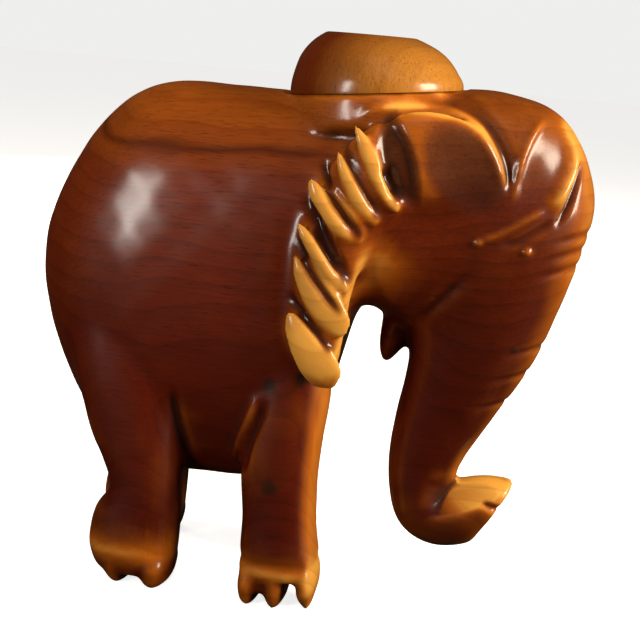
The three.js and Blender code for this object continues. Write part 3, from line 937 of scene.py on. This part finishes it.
def growth_rings():
    """Distance from the pith, bent by slow noise, gives three masks. `Ring` is
    a saw: pale early wood rising to a dark late line. `Sap` is the outer zone.
    `Edge` is the thin dark line where sapwood meets heartwood. `Fibre` is fine
    streaks, noise stretched along the pith. `Pores` are short dark dashes."""
    inputs = [("Place", "Vector"), *GRAIN_INPUTS]
    group, inside, out = new_group("Growth rings", inputs, ("Ring", "Sap", "Edge", "Fibre", "Pores"))
    place, across = inside.outputs["Place"], inside.outputs["Across"]
    slow = noise(group, vector_maths(group, "MULTIPLY", place, (9, 16, 16)), 1.0, 3)
    bend = maths(group, "MULTIPLY", maths(group, "SUBTRACT", slow, 0.5), 0.03)
    from_pith = vector_maths(group, "SUBTRACT", place, inside.outputs["Pith"])
    away = vector_maths(group, "MULTIPLY", from_pith, across)
    distance = maths(group, "ADD", vector_maths(group, "LENGTH", away), bend)
    turns = maths(group, "DIVIDE", distance, inside.outputs["Ring width"])
    saw = maths(group, "FRACT", turns)
    late = ramp(group, saw, (0.0, 0.75), (0.08, 0.12), (0.55, 0.3), (0.86, 0.62), (0.97, 1.0))
    past = maths(group, "SUBTRACT", distance, inside.outputs["Sap radius"])
    spread = inside.outputs["Sap spread"]
    sap = maths(group, "MULTIPLY_ADD", maths(group, "DIVIDE", past, spread), 0.5, 0.5, clamp=True)
    near = maths(group, "DIVIDE", past, maths(group, "MULTIPLY", spread, 0.22))
    edge = maths(group, "SUBTRACT", 1.0, maths(group, "ABSOLUTE", near), clamp=True)
    along = vector_maths(group, "SUBTRACT", (1, 1, 1), across)

    def drawn_out(lengthwise, crosswise):
        """The place scaled apart along the fibres and across them."""
        long_part = vector_maths(group, "MULTIPLY", along, (lengthwise,) * 3)
        cross_part = vector_maths(group, "MULTIPLY", across, (crosswise,) * 3)
        return vector_maths(group, "MULTIPLY", place, vector_maths(group, "ADD", long_part, cross_part))

    fibre = noise(group, drawn_out(60, 1500), 1.0, 3, 0.6)
    speck = noise(group, drawn_out(220, 3200), 1.0, 1)
    pores = ramp(group, speck, (0.60, 0.0), (0.70, 1.0))
    for socket, value in zip(out.inputs, (late, sap, edge, fibre, pores)):
        feed(group, socket, value)
    return group


RINGS = growth_rings()

# %% [markdown]
# ## Lacquer and handling
#
# The clear coat is thick and a little uneven. Where hands rub it stays bright,
# in the cuts it is dull, and everywhere it carries faint smears. A second
# group turns those facts into one roughness value and one bump height, so the
# three pieces share the same age.

# %% Handling as a group
PORE_SINK = 0.3


def handling():
    """`Roughness` is the base value plus smears, plus dullness in the cuts.
    `Height` is slow unevenness of the coat, with the pores sunk in."""
    inputs = [("Place", "Vector")] + [(name, "Float") for name in ("Base", "Dirt", "Pores", "Fibre")]
    group, inside, out = new_group("Handling", inputs, ("Roughness", "Height"))
    place = inside.outputs["Place"]
    smear = noise(group, vector_maths(group, "MULTIPLY", place, (70, 70, 45)), 1.0, 4, 0.6)
    smears = ramp(group, smear, (0.42, 0.0), (0.68, 1.0))
    rough = maths(group, "MULTIPLY_ADD", smears, 0.10, inside.outputs["Base"])
    rough = maths(group, "MULTIPLY_ADD", inside.outputs["Dirt"], 0.30, rough)
    rough = maths(group, "MULTIPLY_ADD", inside.outputs["Pores"], 0.12, rough, clamp=True)
    orange_peel = noise(group, place, 420.0, 2)
    slow = noise(group, place, 95.0, 2)
    height = maths(group, "MULTIPLY_ADD", slow, 1.0, maths(group, "MULTIPLY", orange_peel, 0.12))
    height = maths(group, "MULTIPLY_ADD", inside.outputs["Fibre"], 0.06, height)
    sink = maths(group, "MULTIPLY", inside.outputs["Pores"], PORE_SINK)
    feed(group, out.inputs["Roughness"], rough)
    feed(group, out.inputs["Height"], maths(group, "SUBTRACT", height, sink))
    return group


HANDLING = handling()
print("groups:", RINGS.name, HANDLING.name)

# %% [markdown]
# ## The three woods
#
# The body is a reddish hardwood with a broad band of paler sapwood along the
# back. The holder comes from a more golden piece, with its sapwood on the side
# towards the warm light, partly as painted light. Both are drenched in clear
# lacquer, which deepens the colour. The dowel is bare pale wood, as bought.

# %% One recipe, three woods
HONEY, PALE_HONEY, RED_HONEY = (0.68, 0.175, 0.006), (0.88, 0.42, 0.065), (0.36, 0.100, 0.008)
# CUT_SHADE is the black-red of the painted shade in the cuts.
CUT_SHADE, KNOT_DARK = (0.014, 0.004, 0.002), (0.012, 0.004, 0.002)
OVERALL_HEIGHT = 0.154  # m


def darker(colour, share):
    return tuple(share * v for v in colour)


def knotted(tree, colour, place, knots):
    """Dark spots with a ragged edge, each a thin branch right across the block."""
    side_place = vector_maths(tree, "MULTIPLY", place, (1, 0, 1))
    for x, z, radius, strength in knots:
        away = vector_maths(tree, "DISTANCE", side_place, (x * MM, 0, z * MM))
        ragged = maths(tree, "MULTIPLY_ADD", noise(tree, place, 500.0, 2), 0.0016, away)
        spot = ramp(tree, maths(tree, "DIVIDE", ragged, radius * MM), (0.55, strength), (1.0, 0.0))
        colour = mix(tree, spot, colour, KNOT_DARK)
    return colour


def toned_with_low_shade(tree, colour, place, edge, late):
    """The dark line beside the sapwood fades before the head, and the wood is
    toned darker towards the head. Low down the colour is darkened as painted
    shade, most at the feet."""
    along = vector_maths(tree, "DOT_PRODUCT", place, (10, 0, 0))
    faded = maths(tree, "MULTIPLY", edge, ramp(tree, along, (0.0, 0.7), (0.15, 0.0)))
    colour = mix(tree, faded, colour, darker(late, 0.45))
    height = vector_maths(tree, "DOT_PRODUCT", place, (0, 0, 1 / OVERALL_HEIGHT))
    feet, belly = (0.42, 0.24, 0.20), (0.62, 0.42, 0.35)
    # Painted shade: the colour is darkened low down, most at the feet.
    low_shade = ramp(tree, height, (0.10, feet), (0.45, belly), (0.72, 1))
    colour = mix(tree, 1.0, colour, low_shade, "MULTIPLY")
    return mix(tree, 1.0, colour, ramp(tree, along, (0.2, 1), (0.45, 0.66)), "MULTIPLY")


def wear_and_painted_light(tree, colour, ring, blotch):
    """Rubbed places and painted highlights turned towards honey, and cuts towards
    black-red as painted shade, from the mesh's named values. Gives the colour,
    and the cut mask, which also dulls the coat."""
    rubbed_and_lit, cut_in = (tree.nodes.new("ShaderNodeAttribute") for _ in range(2))
    rubbed_and_lit.attribute_name, cut_in.attribute_name = "rubbed_and_lit", "cut_in"
    rubbed_and_lit = rubbed_and_lit.outputs["Fac"]
    honey = mix(tree, ramp(tree, rubbed_and_lit, (0.5, 0.0), (0.95, 1.0)), HONEY, PALE_HONEY)
    honey = mix(tree, maths(tree, "MULTIPLY", ring, 0.3), honey, RED_HONEY)
    share = maths(tree, "MULTIPLY", rubbed_and_lit, maths(tree, "MULTIPLY_ADD", blotch, -0.35, 0.85))
    colour = mix(tree, maths(tree, "MULTIPLY", share, 0.9), colour, honey)
    shade_in_cuts = maths(tree, "MULTIPLY", cut_in.outputs["Fac"], 1.0, clamp=True)
    # The cuts are mixed towards black-red here: painted shade.
    return mix(tree, maths(tree, "MULTIPLY", shade_in_cuts, 0.88), colour, CUT_SHADE), shade_in_cuts


def wood(name, grain, heart, late, sap, figure, rough, coat, carved=False, knots=()):
    """A Principled wood. Colour is heartwood to late wood by the ring mask,
    then sapwood by its zone, then darker in pores and knots. `grain` is the
    pith, a vector that is 0 along it and 1 square to it, the ring width, and
    the sap's radius and spread. `figure` is how strongly the rings show."""
    material = bpy.data.materials.new(name)
    material.use_nodes = True
    tree = material.node_tree
    shader = tree.nodes["Principled BSDF"]
    place = tree.nodes.new("ShaderNodeTexCoord").outputs["Object"]
    inputs = {key: value for (key, _), value in zip(GRAIN_INPUTS, grain)}
    rings = use_group(tree, RINGS, {"Place": place, **inputs})
    ring, fibre, pores = rings["Ring"], rings["Fibre"], rings["Pores"]
    blotch = ramp(tree, noise(tree, place, 34.0, 3), (0.35, 0.0), (0.7, 1.0))
    colour = mix(tree, maths(tree, "MULTIPLY", ring, figure), heart, late)
    colour = mix(tree, maths(tree, "MULTIPLY", blotch, 0.35), colour, late)
    ringed_sap = mix(tree, maths(tree, "MULTIPLY", ring, 0.7 * figure), sap, heart)
    colour = mix(tree, maths(tree, "MULTIPLY", rings["Sap"], 0.85), colour, ringed_sap)
    if carved:
        colour = toned_with_low_shade(tree, colour, place, rings["Edge"], late)
    colour = mix(tree, 0.7, colour, ramp(tree, fibre, (0.3, 0.75), (0.7, 1.12)), "MULTIPLY")
    colour = mix(tree, maths(tree, "MULTIPLY", pores, 0.45), colour, darker(late, 0.25))
    colour, shade_in_cuts = knotted(tree, colour, place, knots), 0.0
    if carved:
        colour, shade_in_cuts = wear_and_painted_light(tree, colour, ring, blotch)
    feed(tree, shader.inputs["Base Color"], colour)
    surface = {"Place": place, "Base": rough, "Dirt": shade_in_cuts, "Pores": pores, "Fibre": fibre}
    care = use_group(tree, HANDLING, surface)
    bump = tree.nodes.new("ShaderNodeBump")
    bump.inputs["Strength"].default_value = 0.2
    bump.inputs["Distance"].default_value = 0.0006
    feed(tree, bump.inputs["Height"], care["Height"])
    lacquer = {
        "Roughness": care["Roughness"],
        "Normal": bump.outputs["Normal"],
        "IOR": 1.5,
        "Specular IOR Level": 0.08,
        "Coat Weight": coat,
        "Coat Roughness": 0.2,
        "Coat IOR": 1.5,
    }
    for socket, value in lacquer.items():
        feed(tree, shader.inputs[socket], value)
    return material


BODY_KNOTS = [
    # x and z in mm, radius, strength
    (6.1, 65.6, 3.1, 0.95),
    (-2.1, 63, 3.4, 0.85),
    (0.4, 35.6, 3.8, 0.8),
    (25.6, 117, 2.4, 0.95),
    (59, 76.6, 2.2, 0.95),
]
body_wood = wood(
    "carved_wood",
    grain=((0.0, 0.012, 0.052), (0, 1, 1), 0.0042, 0.080, 0.007),
    heart=(0.140, 0.0165, 0.0015),
    late=(0.066, 0.0060, 0.0006),
    sap=(0.255, 0.060, 0.0048),
    figure=0.5,
    rough=0.5,
    coat=0.55,
    carved=True,
    knots=BODY_KNOTS,
)
# The pith stands behind the holder's left side, so the pale sapwood falls on its right side, towards
# the warm light: that golden side is partly sapwood and partly painted light.
holder_wood = wood(
    "turned_wood",
    grain=((-0.050, 0.020, 0.14), (1, 1, 0), 0.0052, 0.081, 0.016),
    heart=(0.125, 0.018, 0.0016),
    late=(0.080, 0.010, 0.001),
    sap=(0.52, 0.22, 0.028),
    figure=0.25,
    rough=0.4,
    coat=0.6,
)
dowel_wood = wood(
    "dowel_wood",
    grain=((0.02, 0.03, 0.13), (1, 1, 0), 0.0016, 0.2, 0.01),
    heart=(0.66, 0.46, 0.26),
    late=(0.50, 0.31, 0.15),
    sap=(0.7, 0.5, 0.3),
    figure=0.5,
    rough=0.6,
    coat=0.0,
)
body.data.materials.clear()
body.data.materials.append(body_wood)
holder.data.materials.append(holder_wood)
for slot in frame["nodes"]["dowel"].material_slots:
    slot.material = dowel_wood
print("materials:", [m.name for m in (body_wood, holder_wood, dowel_wood)])

# %% [markdown]
# ## Floor, light and camera
#
# The stage is a plain pale floor. A warm box light from the right draws out the
# honey colour along the edges, and a tall one like a window puts the soft
# highlight on the rump. A broad fill lights the rest, and a weak light the far
# side. Floor and sky look pale but throw little light back, so that the lacquer
# keeps its deep colour. The camera stands at the height of the holder's rim and
# a little towards the head, rolled by a few degrees as a hand-held camera is.

# %% Stage
def paper(name, seen, felt, glow):
    """A matt floor. The Light Path node picks the pale `seen` colour and glow
    for camera rays, and the dark `felt` colour for all others."""
    material = bpy.data.materials.new(name)
    material.use_nodes = True
    tree = material.node_tree
    shader = tree.nodes["Principled BSDF"]
    to_camera = tree.nodes.new("ShaderNodeLightPath").outputs["Is Camera Ray"]
    feed(tree, shader.inputs["Base Color"], mix(tree, to_camera, felt, seen))
    shader.inputs["Roughness"].default_value = 0.9
    shader.inputs["Specular IOR Level"].default_value = 0.1
    shader.inputs["Emission Color"].default_value = (*seen, 1)
    feed(tree, shader.inputs["Emission Strength"], maths(tree, "MULTIPLY", to_camera, glow))
    return material


PALE, DARK_FLOOR, DARK_SKY = (0.86, 0.86, 0.85), (0.03, 0.018, 0.010), (0.040, 0.026, 0.018)
FLOOR_REACH = 6.0  # m
corners = [(x * FLOOR_REACH, y * FLOOR_REACH, 0) for x, y in ((-1, -1), (1, -1), (1, 1), (-1, 1))]
floor_mesh = bpy.data.meshes.new("floor")
floor_mesh.from_pydata(corners, [], [(0, 1, 2, 3)])
floor = bpy.data.objects.new("floor", floor_mesh)
bpy.context.scene.collection.objects.link(floor)
floor_mesh.materials.append(paper("pale_floor", PALE, DARK_FLOOR, 0.95))


def look_at(thing, target, roll=0.0):
    """Turn a light or camera so that its -Z axis points at the target."""
    direction = Vector(target) - thing.location
    facing = direction.to_track_quat("-Z", "Y").to_matrix().to_4x4()
    rolled = Matrix.Rotation(math.radians(roll), 4, "Z")
    thing.rotation_euler = (facing @ rolled).to_euler()


def soft_box(name, place, target, width, height, power, colour):
    light = bpy.data.lights.new(name, "AREA")
    light.shape, light.size, light.size_y = "RECTANGLE", width, height
    light.energy, light.color = power, colour
    lamp = bpy.data.objects.new(name, light)
    bpy.context.scene.collection.objects.link(lamp)
    lamp.location = place
    look_at(lamp, target)
    return lamp


soft_box("warm_box", (0.80, -0.14, 0.36), (0.03, 0, 0.09), 0.35, 0.40, 15.0, (1.0, 0.88, 0.70))
soft_box("window", (-0.50, -0.80, 0.32), (-0.02, 0, 0.09), 0.13, 0.44, 5.5, (1.0, 0.95, 0.86))
fill = soft_box("fill", (0.12, -0.42, 0.86), (0, 0, 0.1), 0.5, 0.5, 5.0, (1.0, 0.92, 0.80))
fill.visible_glossy = False  # lights the wood without a second highlight
back = soft_box("back_box", (-0.55, 0.75, 0.45), (0, 0, 0.08), 0.5, 0.4, 4.0, (1.0, 0.94, 0.84))
back.visible_glossy = False

world = bpy.data.worlds.new("pale_room")
bpy.context.scene.world = world
world.use_nodes = True
room = world.node_tree
sky = room.nodes["Background"]
seen_sky = room.nodes.new("ShaderNodeLightPath").outputs["Is Camera Ray"]
feed(room, sky.inputs["Color"], mix(room, seen_sky, DARK_SKY, PALE))

# %% Camera
CAMERA_PLACE = (0.0620, -0.3250, 0.150)
CAMERA_TARGET = (0.0048, 0.0, 0.0756)
CAMERA_ROLL = 5.0  # degrees
camera_data = bpy.data.cameras.new("camera")
camera_data.sensor_width = 36.0
camera_data.lens = 68.0456  # mm
camera_data.clip_start = 0.01
camera = bpy.data.objects.new("camera", camera_data)
bpy.context.scene.collection.objects.link(camera)
camera.location = CAMERA_PLACE
look_at(camera, CAMERA_TARGET, CAMERA_ROLL)
bpy.context.scene.camera = camera
bpy.context.scene.view_settings.view_transform = "Standard"
